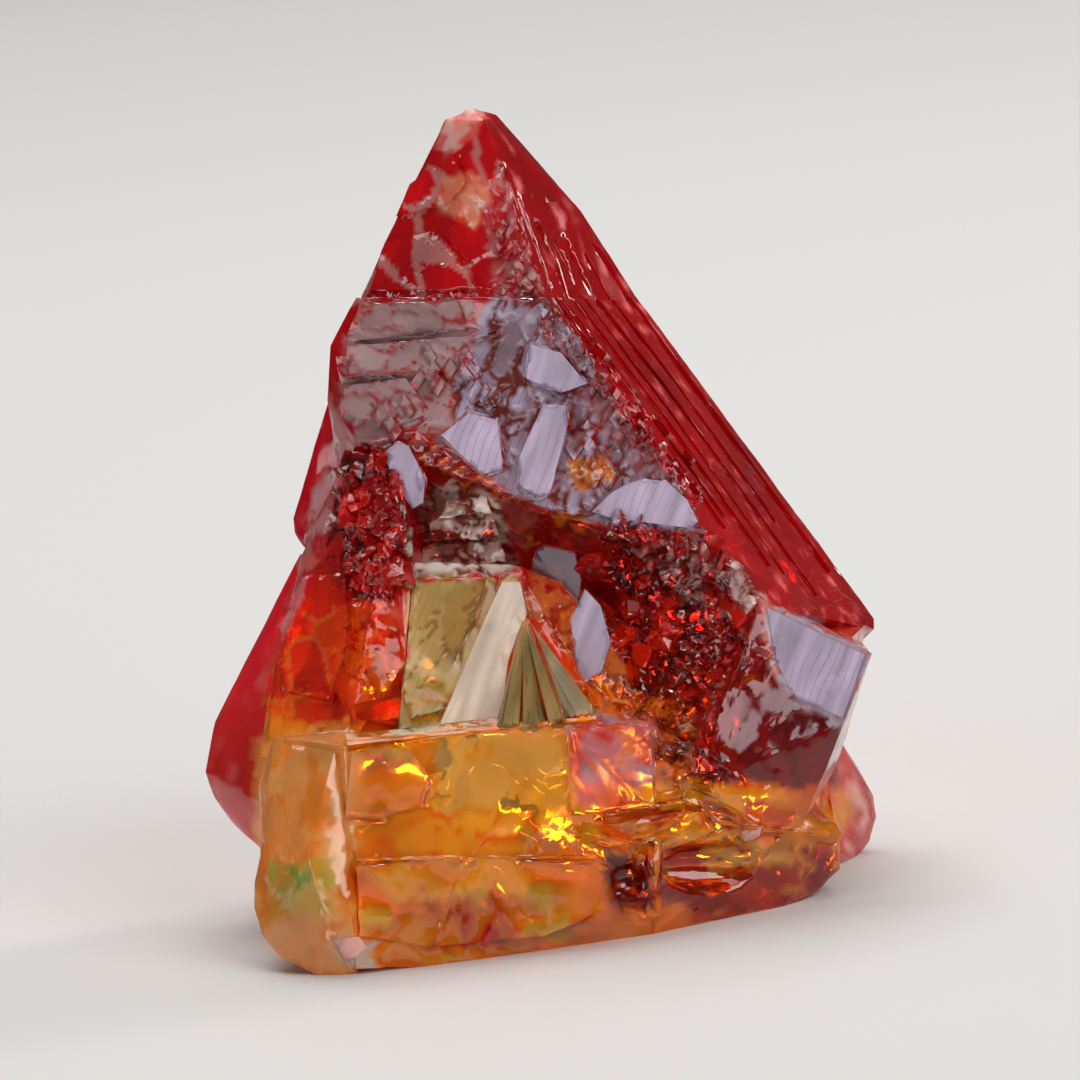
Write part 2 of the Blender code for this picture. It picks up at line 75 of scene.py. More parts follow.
# The front view, in millimetres: x to the right, y away from the eye, z up. The crystal's
# highest corner ties it to the frame.
LOOK_DOWN = math.radians(9.0)
SIDE_LEAN = math.radians(6.0)
TOP_CORNER = Vector((-2.2, 0.3, 24.0))
TURN = Matrix.Rotation(-LOOK_DOWN, 3, "X") @ Matrix.Rotation(SIDE_LEAN, 3, "Y")

# The eye: the middle of the picture, the width it shows and how far away it is, in millimetres
VIEW_MIDDLE = Vector((-0.28, 0.0, 12.0))
VIEW_WIDTH = 30.0
VIEW_DISTANCE = 320.0
SENSOR = 36.0

ALONG = Vector((0.54, -0.21, 0.84)).normalized()
ACROSS = Vector((0.585, -0.262, -0.81)).normalized()
OUT = Vector((-0.39, -0.92, 0.02)).normalized()
CLEAVAGE = (-0.42, 0.02)
FAR = 60.0
OVERLAP = 0.05

# Material slots carried through the Booleans, to know a plate's faces again
STONE = 0
# The lavender and silver slots mark plates whose colour is a painted reflection of light off cleavage
# planes
LAVENDER_REFLECTION = 1
SILVER_REFLECTION = 2
OLIVE = 3
GREY = 4
PALE = 5
GOLD = 6
SLOTS = 7


def front_copy(node):
    """A copy of the node's mesh in the front view's millimetres, and the shift that undoes it."""
    bm = bmesh.new()
    bm.from_mesh(node.data)
    bmesh.ops.transform(bm, matrix=node.matrix_world, verts=bm.verts)
    bmesh.ops.remove_doubles(bm, verts=bm.verts, dist=1e-8)
    bmesh.ops.scale(bm, vec=(1 / MM, 1 / MM, 1 / MM), verts=bm.verts)
    top = max(bm.verts, key=lambda vert: vert.co.z).co.copy()
    back = TURN.inverted()
    shift = TOP_CORNER - back @ top
    for vert in bm.verts:
        vert.co = back @ vert.co + shift
    return bm, shift


def new_slots(mesh):
    for number in range(SLOTS):
        name = f"stage_{number}"
        mesh.materials.append(bpy.data.materials.get(name) or bpy.data.materials.new(name))


def add_mesh(name, bm, home, slot=STONE):
    for face in bm.faces:
        face.material_index = slot
    mesh = bpy.data.meshes.new(name)
    bm.to_mesh(mesh)
    bm.free()
    new_slots(mesh)
    thing = bpy.data.objects.new(name, mesh)
    home.objects.link(thing)
    return thing


def block(name, corners, home, slot=STONE):
    """One flat-faced block: the tightest skin around its corners."""
    bm = bmesh.new()
    for corner in corners:
        bm.verts.new(corner)
    skin = bmesh.ops.convex_hull(bm, input=bm.verts)
    inside = [item for item in skin["geom_interior"] if isinstance(item, bmesh.types.BMVert)]
    bmesh.ops.delete(bm, geom=inside, context="VERTS")
    bmesh.ops.recalc_face_normals(bm, faces=bm.faces)
    return add_mesh(name, bm, home, slot)


def combine(body, home, operation):
    """Joins everything in a collection to the body, or cuts it away."""
    change = body.modifiers.new(operation.title(), "BOOLEAN")
    change.operation = operation
    change.solver = "EXACT"
    change.use_self = True
    change.material_mode = "INDEX"
    change.operand_type = "COLLECTION"
    change.collection = home
    shape = body.evaluated_get(bpy.context.evaluated_depsgraph_get())
    made = bpy.data.meshes.new_from_object(shape)
    body.modifiers.clear()
    body.data = made
    for thing in list(home.objects):
        bpy.data.objects.remove(thing, do_unlink=True)


def surface(body):
    bm = bmesh.new()
    bm.from_mesh(body.data)
    tree = BVHTree.FromBMesh(bm)
    bm.free()
    return tree


def hit_at(tree, x, z, side=-1):
    """Where the surface lies at a place of the front (side -1) or back (side 1) view."""
    hit = tree.ray_cast(Vector((x, side * FAR, z)), Vector((0, -side, 0)))
    return (hit[0], hit[1]) if hit[0] else (None, None)


def chip(name, centre, size, home, turned):
    """A small cleavage chip along the crystal's own directions, or turned any way."""
    half = [size * random.uniform(0.35, 1.1) for _ in range(3)]
    slant = random.uniform(-0.3, 0.3)
    turn = Matrix.Identity(3)
    if turned:
        turn = Euler([random.uniform(0.0, math.tau) for _ in range(3)]).to_matrix()
    corners = []
    for a in (-1, 1):
        for b in (-1, 1):
            for c in (-1, 1):
                step = ALONG * (a * half[0] + slant * half[2] * c) + ACROSS * (b * half[1])
                corners.append(centre + turn @ (step + OUT * (c * half[2] * 0.6)))
    return block(name, corners, home)


def chipped_strip(tree, start, end, width, count, size, home, side, turned):
    """Chips scattered over a strip of the front or the back."""
    sideways = Vector((end[1] - start[1], start[0] - end[0])).normalized()
    for number in range(count):
        part = (number + random.random()) / count
        off = random.uniform(-0.5, 0.5) * width
        x = start[0] + (end[0] - start[0]) * part + sideways.x * off
        z = start[1] + (end[1] - start[1]) * part + sideways.y * off
        spot = hit_at(tree, x, z, side)[0]
        if spot is not None:
            chip(f"chip_{x:.3f}_{z:.3f}_{side}", spot, size, home, turned)


def bar(name, start, end, radius, home, slot=STONE, end_radius=None):
    """A long four-sided bar, for ribs and striations."""
    run = (end - start).normalized()
    side = run.cross(Vector((0, 0, 1))).normalized()
    up = run.cross(side)
    corners = []
    for point, size in ((start - run * OVERLAP, radius), (end + run * OVERLAP, end_radius or radius)):
        for way in (side, -side, up, -up):
            corners.append(point + way * size)
    return block(name, corners, home, slot)


def plate(name, tree, proud, outline, home, slot=STONE, slope=CLEAVAGE, depth=0.8):
    """A thin plate with a flat face that stands a little proud of the front."""
    cx = sum(point[0] for point in outline) / len(outline)
    cz = sum(point[1] for point in outline) / len(outline)
    spot, normal = hit_at(tree, cx, cz)
    if spot is None:
        return None
    if slope is None:
        slope = (max(-1.0, min(1.0, -normal.x / normal.y)), max(-1.0, min(1.0, -normal.z / normal.y)))
    corners = []
    for x, z in outline:
        face = spot.y - proud + slope[0] * (x - cx) + slope[1] * (z - cz)
        corners.append((x, face, z))
        corners.append((cx + (x - cx) * 0.9, face + depth, cz + (z - cz) * 0.9))
    return block(name, corners, home, slot)


# Plates with their own look: slot, proud of the surface, outline as (x, z), slope. The lavender and
# silver plates carry a painted reflection of light off their cleavage planes.
SHEEN_PLATES = {
    "top_plate": (LAVENDER_REFLECTION, 0.05, ((-0.25, 18.4), (0.2, 18.25), (1.2, 16.9), (0.95, 16.65),
                                   (-0.15, 17.3)), CLEAVAGE),
    "second_plate": (LAVENDER_REFLECTION, 0.05, ((-0.55, 17.4), (0.3, 17.15), (1.0, 16.3), (0.3, 16.05),
                                      (-0.65, 16.45)), CLEAVAGE),
    "lined_plate": (LAVENDER_REFLECTION, 0.05, ((-2.25, 15.5), (-1.45, 15.3), (-1.3, 13.95), (-1.9, 13.8),
                                     (-3.0, 14.9)), CLEAVAGE),
    "tall_plate": (LAVENDER_REFLECTION, 0.05, ((-0.2, 15.72), (0.42, 15.7), (0.48, 15.2), (0.0, 13.3),
                                    (-0.28, 13.2), (-0.82, 13.45), (-0.88, 14.2)), CLEAVAGE),
    "half_moon": (LAVENDER_REFLECTION, 0.06, ((1.15, 12.78), (1.65, 13.27), (2.1, 13.55), (2.6, 13.68),
                                   (3.2, 13.6), (3.75, 13.1), (4.05, 12.5), (3.85, 12.32),
                                   (1.65, 12.62)), CLEAVAGE),
    "flake": (LAVENDER_REFLECTION, 0.06, ((-4.65, 14.4), (-4.2, 14.75), (-3.92, 14.6), (-3.45, 13.7),
                               (-3.52, 13.05), (-3.82, 12.85), (-4.18, 13.4)), CLEAVAGE),
    "grey_oval": (GREY, 0.08, ((-0.4, 11.7), (0.1, 11.95), (0.65, 11.7), (0.85, 10.9),
                               (0.75, 10.1), (0.5, 9.75), (-0.15, 10.2), (-0.55, 10.9)), CLEAVAGE),
    "pale_oval": (LAVENDER_REFLECTION, 0.1, ((0.95, 10.65), (1.38, 10.2), (1.66, 9.2), (1.4, 8.35),
                                  (0.92, 8.05), (0.68, 8.65), (0.58, 9.8)), CLEAVAGE),
    "olive_slab": (STONE, 0.04, ((-3.7, 10.92), (-1.75, 10.92), (-2.0, 10.0), (-3.2, 7.5),
                                 (-3.8, 7.2), (-4.0, 7.8), (-3.8, 9.2)), (-0.2, 0.36)),
    "silver_bar": (SILVER_REFLECTION, 0.05, ((-1.32, 10.85), (-0.83, 10.85), (-0.64, 10.0), (-1.52, 6.85),
                                  (-3.12, 6.7), (-2.55, 7.9), (-1.67, 10.1)), (-0.12, 0.45)),
    "right_facet": (LAVENDER_REFLECTION, 0.05, ((5.95, 10.15), (8.6, 8.85), (8.0, 7.15), (6.75, 7.65),
                                     (6.2, 8.65)), None),
    "square_facet": (STONE, 0.04, ((0.5, 6.85), (2.45, 7.0), (2.72, 6.9), (2.82, 4.8),
                                  (0.62, 4.55)), None),
    "cream_flake": (PALE, 0.05, ((5.15, 4.1), (5.85, 4.15), (5.75, 3.85), (5.35, 3.75)), None),
    "pale_streak": (STONE, 0.05, ((-5.3, 7.45), (-4.05, 7.7), (-3.9, 7.25), (-4.2, 7.0),
                                 (-5.2, 7.15)), None),
    "lobe_facet": (PALE, 0.05, ((-5.9, 1.1), (-5.2, 1.2), (-4.9, 0.75), (-5.6, 0.55)), None),
}
# Strips of small chips: from, to, width, count, size
FINE_STRIPS = (
    ((-0.2, 18.3), (4.1, 13.0), 0.5, 60, 0.14), ((-5.2, 18.75), (-0.2, 18.85), 0.15, 20, 0.1),
    ((4.9, 11.2), (5.4, 10.2), 0.6, 12, 0.24),
)
BROKEN_STRIPS = (
    ((-5.2, 14.2), (-4.6, 10.6), 1.6, 40, 0.22), ((1.4, 12.0), (4.8, 10.6), 1.8, 50, 0.22),
    ((2.0, 10.0), (4.8, 8.2), 1.9, 50, 0.22), ((2.8, 7.8), (4.4, 5.2), 1.6, 30, 0.2),
)

def fan(tree, home):
    """Fine striations that spread down beside the silver bar."""
    top = Vector((-0.72, 0.0, 9.9))
    spot = hit_at(tree, top.x, top.z)[0]
    top.y = spot.y + 0.05
    for number in range(15):
        part = number / 14
        end = Vector((-1.35 + 2.5 * part, 0.0, 6.95 + 0.3 * part))
        end.y = hit_at(tree, end.x, end.z)[0].y - random.uniform(0.0, 0.12)
        bar(f"fan_{number}", top, end, 0.05, home, OLIVE, random.uniform(0.09, 0.16))


LOOPS = {
    "loop_high": ((1.4, 4.5), (2.4, 4.9), (3.6, 5.0), (4.2, 4.7), (4.6, 4.3), (5.6, 4.1), (7.6, 3.9)),
    "loop_low": ((0.6, 4.0), (1.6, 3.7), (2.6, 3.9), (3.4, 4.3), (4.3, 4.5)),
    "post": ((2.95, 3.8), (2.9, 2.9), (2.8, 1.7)),
    "rim": ((-5.5, 6.4), (-3.2, 6.65), (-0.8, 6.9), (1.2, 7.1)),
    "low_line": ((-5.2, 3.25), (-2.4, 3.3), (1.2, 3.3)),
    "curl": ((1.5, 8.0), (1.7, 7.6), (2.1, 7.5), (2.4, 7.8)),
}


def loops(tree, home):
    """Glassy ribs that run over the foot."""
    for name, path in LOOPS.items():
        spots = [hit_at(tree, x, z)[0] for x, z in path]
        for number in range(len(spots) - 1):
            if spots[number] and spots[number + 1]:
                bar(f"{name}_{number}", spots[number], spots[number + 1], 0.1, home, GOLD)


def grow(body, home):
    tree = surface(body)
    for name, (slot, proud, outline, slope) in SHEEN_PLATES.items():
        plate(name, tree, proud, outline, home, slot, slope)
    for run in FINE_STRIPS:
        chipped_strip(tree, *run, home, -1, False)
    for run in BROKEN_STRIPS:
        chipped_strip(tree, *run, home, -1, True)
    fan(tree, home)
    loops(tree, home)
    combine(body, home, "UNION")


EDGE_LENGTH = 0.5
FINE_LENGTH = 0.185
FOOT_LENGTH = 0.34
FOOT_TOP = 6.8
PLATE_SLOTS = (LAVENDER_REFLECTION, SILVER_REFLECTION, OLIVE, GREY)
SIDE_LENGTH = 0.25
SOFT_RIM = 0.1
WARP = 0.45

# Zones of the front: outline as (x, z), two colours, how rare the second is, clearness, frost,
# fine lines, and the network of cleavage pieces in it: size, stretch, lean, height, colour and
# width of the cracks between them
ZONES = (
    ("tip",
     ((-3.06, 24.22), (-1.67, 24.22), (-0.06, 18.69), (-5.69, 18.69), (-4.17, 21.44)),
     (0.62, 0.002, 0.007), (0.9, 0.008, 0.014), 1, 0.5, 0.06, 0,
     (1.3, 1.5, 35, 0.04, (0.78, 0.3, 0.28), 0.085)),
    ("tip_speckle",
     ((-1.89, 21.72), (-1.22, 21.72), (-0.06, 18.69), (-1.61, 18.69)),
     (0.62, 0.01, 0.014), (0.5, 0.24, 0.24), 2.2, 0.3, 0.2, 0,
     (0.26, 1.6, -20, 0.05, (0.4, 0.01, 0.01), 0.06)),
    ("star",
     ((-2.92, 22.00), (-2.22, 22.28), (-1.67, 21.44), (-2.08, 20.61), (-2.64, 21.03),
      (-3.19, 21.03)),
     (0.9, 0.1, 0.03), (0.95, 0.42, 0.24), 1.2, 0.4, 0.2, 0,
     (0.35, 1.5, 40, 0.03, (0.9, 0.6, 0.5), 0.08)),
    ("cap",
     ((-3.47, 23.72), (-2.44, 24.11), (-1.83, 24.00), (-2.33, 22.83), (-3.06, 22.83)),
     (0.8, 0.05, 0.04), (0.86, 0.5, 0.42), 1.2, 0.3, 0.35, 0,
     (0.4, 1, 0, 0.04, (0.7, 0.1, 0.08), 0.06)),
    # Painted reflection: the mauve-grey and lavender of both band zones paint light reflected off the
    # band's cleavage terrace
    ("band_left",
     ((-5.36, 18.64), (-1.94, 18.69), (-2.22, 17.28), (-2.72, 15.89), (-2.08, 14.00),
      (-3.75, 15.00), (-5.50, 14.64), (-5.83, 15.89), (-5.61, 17.56)),
     (0.25, 0.1, 0.1), (0.4, 0.22, 0.22), 1, 0.06, 0.32, 0.2,
     (0.8, 0.8, 12, 0.06, (0.34, 0.02, 0.012), 0.09)),
    ("band_right",
     ((-1.94, 18.69), (-0.11, 18.75), (1.39, 16.31), (4.31, 12.14), (1.39, 12.36),
      (-0.83, 13.06), (-2.08, 14.00), (-2.72, 15.89), (-2.22, 17.28)),
     (0.24, 0.14, 0.18), (0.42, 0.33, 0.46), 0.9, 0.05, 0.24, 1,
     (0.5, 2.6, -20, 0.1, (0.16, 0.02, 0.015), 0.12)),
    ("ridge_crumble",
     ((-0.83, 18.75), (-0.06, 18.75), (4.17, 12.56), (4.33, 12.11), (2.92, 12.97), (0.42, 16.44)),
     (0.28, 0.04, 0.04), (0.4, 0.3, 0.38), 1.2, 0.15, 0.3, 0,
     (0.3, 1.6, -30, 0.1, (0.2, 0.02, 0.02), 0.13)),
    ("gold_fleck",
     ((0.44, 14.17), (1.56, 14.36), (1.72, 13.67), (0.69, 13.33)),
     (0.55, 0.18, 0.05), (1, 0.5, 0.08), 0.8, 0.6, 0.1, 0,
     (0.25, 1.4, -60, 0.05, (0.3, 0.05, 0.02), 0.08)),
    # Painted shade and glints: the dark red paints the shade under the band's overhang, and the rare
    # bright orange second colour paints sparkling glints
    ("painted_shade_recess",
     ((-3.75, 15.00), (-2.08, 14.00), (-0.83, 13.06), (1.39, 12.36), (4.33, 12.14),
      (3.89, 11.28), (0.42, 11.28), (-1.39, 12.00), (-3.47, 13.81), (-4.17, 14.78)),
     (0.36, 0.004, 0.003), (1, 0.26, 0.012), 2.4, 0.6, 0.1, 0,
     (0.22, 1.8, -60, 0.07, (0.25, 0.004, 0.003), 0.13)),
    ("left_patch",
     ((-5.69, 14.56), (-4.31, 14.78), (-3.39, 12.56), (-3.50, 10.28), (-5.69, 10.22),
      (-6.33, 11.44), (-6.44, 13.11)),
     (0.18, 0.002, 0.002), (0.8, 0.014, 0.008), 1.6, 0.5, 0.14, 0,
     (0.55, 1.6, -20, 0.13, (0.08, 0.001, 0.001), 0.1)),
    ("left_edge",
     ((-6.44, 13.94), (-5.69, 14.56), (-6.33, 11.44), (-7.36, 9.22), (-8.00, 7.56),
      (-8.11, 8.11), (-7.22, 10.61)),
     (0.6, 0.03, 0.03), (0.62, 0.3, 0.32), 1, 0.4, 0.25, 0,
     (0.5, 1.8, -25, 0.05, (0.5, 0.02, 0.02), 0.06)),
    ("left_facet",
     ((-6.25, 11.44), (-5.69, 10.22), (-3.61, 10.22), (-3.83, 7.56), (-6.11, 6.58),
      (-8.00, 7.42), (-7.36, 9.22)),
     (0.7, 0.014, 0.003), (0.95, 0.07, 0.005), 1, 0.6, 0.08, 0,
     (1.1, 1.3, 20, 0.03, (0.85, 0.16, 0.02), 0.06)),
    ("left_glow",
     ((-5.56, 10.00), (-4.03, 9.72), (-3.83, 7.83), (-5.00, 7.56), (-5.83, 8.67)),
     (0.95, 0.05, 0.004), (1, 0.16, 0.01), 1, 0.65, 0.08, 0,
     (0.5, 1.4, 10, 0.05, (0.6, 0.01, 0.003), 0.06)),
    # Painted highlight: the crown's pale silvery second colour paints highlights
    ("crown",
     ((-3.67, 13.11), (-2.78, 13.72), (-1.39, 13.11), (-0.83, 11.31), (-1.33, 10.97),
      (-3.75, 10.97), (-3.94, 12.00)),
     (0.34, 0.25, 0.19), (0.8, 0.76, 0.68), 1, 0.25, 0.14, 0,
     (0.32, 2.6, 78, 0.14, (0.16, 0.03, 0.02), 0.15)),
    ("olive",
     ((-3.94, 10.97), (-0.83, 10.97), (-1.25, 9.22), (-3.06, 6.67), (-4.28, 6.58), (-3.94, 9.22)),
     (0.36, 0.28, 0.05), (0.62, 0.53, 0.2), 1, 0.35, 0.2, 0.6,
     (0.5, 2.6, -18, 0.03, (0.26, 0.18, 0.05), 0.08)),
    ("heart_red",
     ((-4.28, 7.83), (-3.06, 7.56), (-1.39, 6.58), (1.67, 6.58), (2.50, 7.56), (1.39, 11.44),
      (-0.56, 11.44), (-0.83, 10.33), (1.94, 7.00)),
     (0.5, 0.04, 0.01), (0.62, 0.24, 0.08), 1.2, 0.6, 0.12, 0,
     (0.4, 1.5, -20, 0.06, (0.3, 0.02, 0.01), 0.06)),
    ("right_rough",
     ((0.17, 12.14), (4.33, 12.14), (5.75, 10.33), (6.00, 8.67), (4.50, 7.50), (2.50, 7.56),
      (1.72, 8.94), (1.11, 10.61)),
     (0.16, 0.002, 0.002), (0.78, 0.014, 0.006), 1.7, 0.5, 0.12, 0,
     (0.5, 1.9, -40, 0.13, (0.07, 0.001, 0.001), 0.1)),
    # Painted glints: the rare pale second colour paints tiny white glints on the dark red rough stone
    ("painted_glint_specks",
     ((2.50, 12.00), (4.17, 12.00), (4.78, 10.75), (3.89, 10.17), (2.64, 10.75)),
     (0.2, 0.006, 0.005), (0.75, 0.58, 0.56), 2.6, 0.4, 0.2, 0,
     (0.2, 1.4, -40, 0.1, (0.08, 0.002, 0.002), 0.12)),
    ("knobs",
     ((4.94, 11.44), (5.56, 11.44), (5.83, 10.33), (5.33, 10.00), (4.94, 10.61)),
     (0.55, 0.3, 0.28), (0.78, 0.62, 0.58), 1, 0.2, 0.35, 0,
     (0.3, 1, 0, 0.1, (0.4, 0.1, 0.08), 0.06)),
    ("streaky",
     ((2.50, 7.56), (4.58, 7.56), (4.31, 4.44), (2.50, 5.00), (1.81, 6.31)),
     (0.22, 0.012, 0.004), (0.85, 0.22, 0.03), 1.7, 0.5, 0.1, 0,
     (0.3, 2.8, -25, 0.08, (0.12, 0.004, 0.002), 0.12)),
    # Painted shade: the near-black red paints the shade on the block's lower face, which turns down
    # away from the light
    ("painted_shade_prism",
     ((3.89, 7.56), (6.17, 8.53), (8.19, 6.86), (8.00, 4.17), (5.56, 3.89), (3.89, 5.47)),
     (0.12, 0.0008, 0.0008), (0.22, 0.0015, 0.0015), 1, 0.5, 0.1, 0,
     (1.2, 1.4, 10, 0.03, (0.3, 0.004, 0.003), 0.02)),
    # Painted reflection: the lavender paints light from above reflected off this upward-facing facet
    ("right_lavender_reflection",
     ((5.75, 10.42), (8.81, 8.94), (8.00, 6.94), (6.67, 7.50), (6.06, 8.67)),
     (0.36, 0.29, 0.36), (0.54, 0.46, 0.56), 1, 0.15, 0.24, 0.4,
     (0.8, 1.3, 30, 0.05, (0.8, 0.22, 0.12), 0.05)),
    ("window",
     ((-3.17, 6.94), (0.50, 7.06), (0.50, 4.67), (-3.11, 4.56)),
     (1, 0.66, 0.05), (1, 0.92, 0.28), 1, 0.8, 0.04, 0,
     (0.9, 1.5, 75, 0.04, (1, 0.66, 0.05), 0.03)),
    ("square",
     ((0.47, 7.22), (2.94, 7.17), (2.83, 4.56), (0.56, 4.61)),
     (0.72, 0.04, 0.015), (0.46, 0.34, 0.44), 0.9, 0.4, 0.14, 0.3,
     (0.45, 1.4, -30, 0.03, (0.75, 0.22, 0.06), 0.06)),
    ("foot",
     ((-5.50, 6.31), (-3.06, 6.58), (-3.11, 4.56), (1.39, 4.61), (1.44, 2.00), (0.28, 1.03),
      (-3.33, 0.28), (-5.56, 0.28), (-5.69, 2.56), (-4.94, 4.78)),
     (1, 0.2, 0.005), (1, 0.52, 0.03), 1, 0.55, 0.06, 0,
     (0.6, 1.7, 65, 0.05, (1, 0.2, 0.005), 0.05)),
    ("red_dots",
     ((-3.33, 2.14), (-0.97, 2.19), (-0.83, 0.89), (-3.33, 0.83)),
     (1, 0.28, 0.01), (0.75, 0.012, 0.003), 1.5, 0.6, 0.06, 0,
     (0.35, 1, 0, 0.05, (1, 0.3, 0.02), 0.05)),
    ("void",
     ((1.47, 3.50), (2.83, 3.39), (2.83, 1.94), (1.53, 1.94)),
     (0.06, 0.001, 0.001), (0.25, 0.01, 0.004), 1.3, 0.5, 0.08, 0,
     (0.4, 1.2, 0, 0.08, (0.4, 0.05, 0.01), 0.05)),
    ("low_window",
     ((2.83, 3.72), (8.00, 3.50), (7.56, 1.94), (4.17, 1.56), (2.83, 2.44)),
     (0.28, 0.002, 0.0015), (0.8, 0.05, 0.006), 1.5, 0.65, 0.06, 0,
     (0.6, 1.6, 60, 0.07, (0.9, 0.3, 0.03), 0.04)),
    ("ribs",
     ((1.33, 5.22), (4.17, 5.39), (8.39, 5.11), (8.39, 3.72), (2.92, 3.67), (1.33, 3.50)),
     (0.92, 0.1, 0.004), (1, 0.42, 0.02), 1, 0.5, 0.07, 0,
     (0.5, 3, 72, 0.07, (0.45, 0.03, 0.004), 0.05)),
    ("low_flash",
     ((4.17, 3.50), (5.42, 3.61), (6.94, 3.39), (7.28, 2.89), (6.11, 3.06), (4.31, 2.89)),
     (0.95, 0.28, 0.02), (1, 0.62, 0.08), 1, 0.6, 0.08, 0,
     (0.3, 2.4, 70, 0.05, (0.5, 0.02, 0.005), 0.06)),
    ("lobe",
     ((-5.56, 7.06), (-4.94, 4.78), (-5.69, 2.56), (-4.58, 0.19), (-6.94, -0.17), (-8.33, 1.17),
      (-8.19, 6.44)),
     (1, 0.3, 0.03), (0.95, 0.48, 0.14), 1, 0.4, 0.18, 0,
     (0.7, 1.8, -15, 0.05, (1, 0.3, 0.03), 0.04)),
    ("lime",
     ((-7.72, 3.22), (-6.06, 3.39), (-5.97, 1.86), (-7.72, 1.72)),
     (0.9, 0.5, 0.04), (0.6, 0.66, 0.1), 1.3, 0.5, 0.15, 0,
     (0.25, 3.2, -10, 0.05, (0.7, 0.5, 0.1), 0.06)),
    ("green_spot",
     ((-7.06, 3.00), (-6.56, 3.06), (-6.50, 2.56), (-7.00, 2.44)),
     (0.18, 0.5, 0.05), (0.3, 0.7, 0.12), 1, 0.5, 0.12, 0,
     None),
    ("foot_pale",
     ((-5.89, 1.08), (-4.78, 1.03), (-4.83, 0.39), (-5.72, 0.33)),
     (0.55, 0.45, 0.36), (0.66, 0.56, 0.48), 1, 0.3, 0.3, 0,
     None),
)


def inside(x, z, outline):
    """How far a place lies inside an outline, in millimetres; negative outside."""
    nearest = FAR
    within = False
    last_x, last_z = outline[-1]
    for next_x, next_z in outline:
        dx, dz = next_x - last_x, next_z - last_z
        part = ((x - last_x) * dx + (z - last_z) * dz) / (dx * dx + dz * dz)
        part = max(0.0, min(1.0, part))
        nearest = min(nearest, math.hypot(x - last_x - part * dx, z - last_z - part * dz))
        if (last_z > z) != (next_z > z) and x < last_x + dx * (z - last_z) / dz:
            within = not within
        last_x, last_z = next_x, next_z
    return nearest if within else -nearest


def piece(x, z, size, stretch, lean):
    """The cleavage piece at a place: its own number from 0 to 1, and how far its border is."""
    turn = math.radians(lean)
    bend = noise.noise_vector(Vector((x / size, 5.0, z / size)) * 0.8) * WARP
    across = (x * math.cos(turn) + z * math.sin(turn)) / size + bend.x
    along = (z * math.cos(turn) - x * math.sin(turn)) / (size * stretch) + bend.z
    away, middles = noise.voronoi(Vector((across, along, 0.37)))
    healed = max(0.0, noise.noise(Vector((x, z, 3.0)) / size * 0.6)) * 0.35
    return 0.5 + 0.5 * noise.cell(middles[0] * 37.0), away[1] - away[0] + healed


def zones_at(point, normal):
    """The zones of the front at a place, with their shares."""
    found = []
    if normal.y > 0.3 or (normal.x > 0.45 and point.z > 10.5):
        return found
    wobble = noise.noise(point * 2.3) * 0.22
    for zone in ZONES:
        low_x, high_x, low_z, high_z = BOUNDS[zone[0]]
        if not (low_x < point.x < high_x and low_z < point.z < high_z):
            continue
        share = 0.5 + (inside(point.x, point.z, zone[1]) + wobble) / SOFT_RIM
        if share > 0:
            found.append((zone, min(1.0, share)))
    return found


BOUNDS = {}
for label, rim, *_ in ZONES:
    BOUNDS[label] = (min(x for x, _ in rim) - 0.3, max(x for x, _ in rim) + 0.3,
                     min(z for _, z in rim) - 0.3, max(z for _, z in rim) + 0.3)


def needs_detail(middle, facing, size):
    """Whether an edge touches a crack between cleavage pieces, or the rim of a zone."""
    for zone, share in zones_at(middle, facing):
        if share < 1.0:
            return True
        if zone[8]:
            piece_size, stretch, lean, _, _, width = zone[8]
            border = piece(middle.x, middle.z, piece_size, stretch, lean)[1]
            if border < width + size / piece_size:
                return True
    return False


def refine(bm):
    """Splits long edges, so that the surface can ripple; finest at the cracks."""
    for _ in range(9):
        bmesh.ops.triangulate(bm, faces=bm.faces)
        bm.normal_update()
        long_edges = []
        for edge in bm.edges:
            size = edge.calc_length()
            if size > EDGE_LENGTH:
                long_edges.append(edge)
            elif size > FINE_LENGTH and edge.link_faces:
                middle = (edge.verts[0].co + edge.verts[1].co) / 2
                if middle.z < FOOT_TOP and size < FOOT_LENGTH:
                    continue
                facing = edge.link_faces[0].normal
                on_side = facing.x > 0.35 and middle.z > 9.5
                if size > SIDE_LENGTH and on_side:
                    long_edges.append(edge)
                elif facing.y < -0.1 and needs_detail(middle, facing, size):
                    long_edges.append(edge)
        if not long_edges:
            break
        bmesh.ops.subdivide_edges(bm, edges=long_edges, cuts=1)
    bmesh.ops.triangulate(bm, faces=bm.faces)


def ripple(bm):
    """Shallow waves, and the steps and cracks of the cleavage pieces."""
    bm.normal_update()
    moves = []
    for vert in bm.verts:
        point = vert.co
        wave = noise.noise(point * 0.7) * 0.03 + noise.noise(point * 3.4) * 0.012
        if any(face.material_index in PLATE_SLOTS for face in vert.link_faces):
            wave *= 0.15
        else:
            for zone, share in zones_at(point, vert.normal):
                if zone[8]:
                    size, stretch, lean, height, _, width = zone[8]
                    own, border = piece(point.x, point.z, size, stretch, lean)
                    step = height * (own - 0.6)
                    if border < width:
                        step -= height * 0.4
                    wave = wave * (1.0 - share * 0.5) + share * step
        moves.append(vert.normal * wave)
    for vert, move in zip(bm.verts, moves):
        vert.co += move


# Colour of the stone by height, from the foot to the tip, with its clearness
LEVELS = (
    (0.0, (1.0, 0.20, 0.005, 0.5)), (3.0, (1.0, 0.27, 0.008, 0.6)), (5.0, (1.0, 0.48, 0.03, 0.75)),
    (6.8, (1.0, 0.36, 0.02, 0.72)), (8.4, (0.92, 0.06, 0.005, 0.6)),
    (10.5, (0.70, 0.008, 0.004, 0.55)), (14.0, (0.60, 0.002, 0.006, 0.5)),
    (24.5, (0.70, 0.002, 0.009, 0.45)),
)
STONE_FROST = 0.07
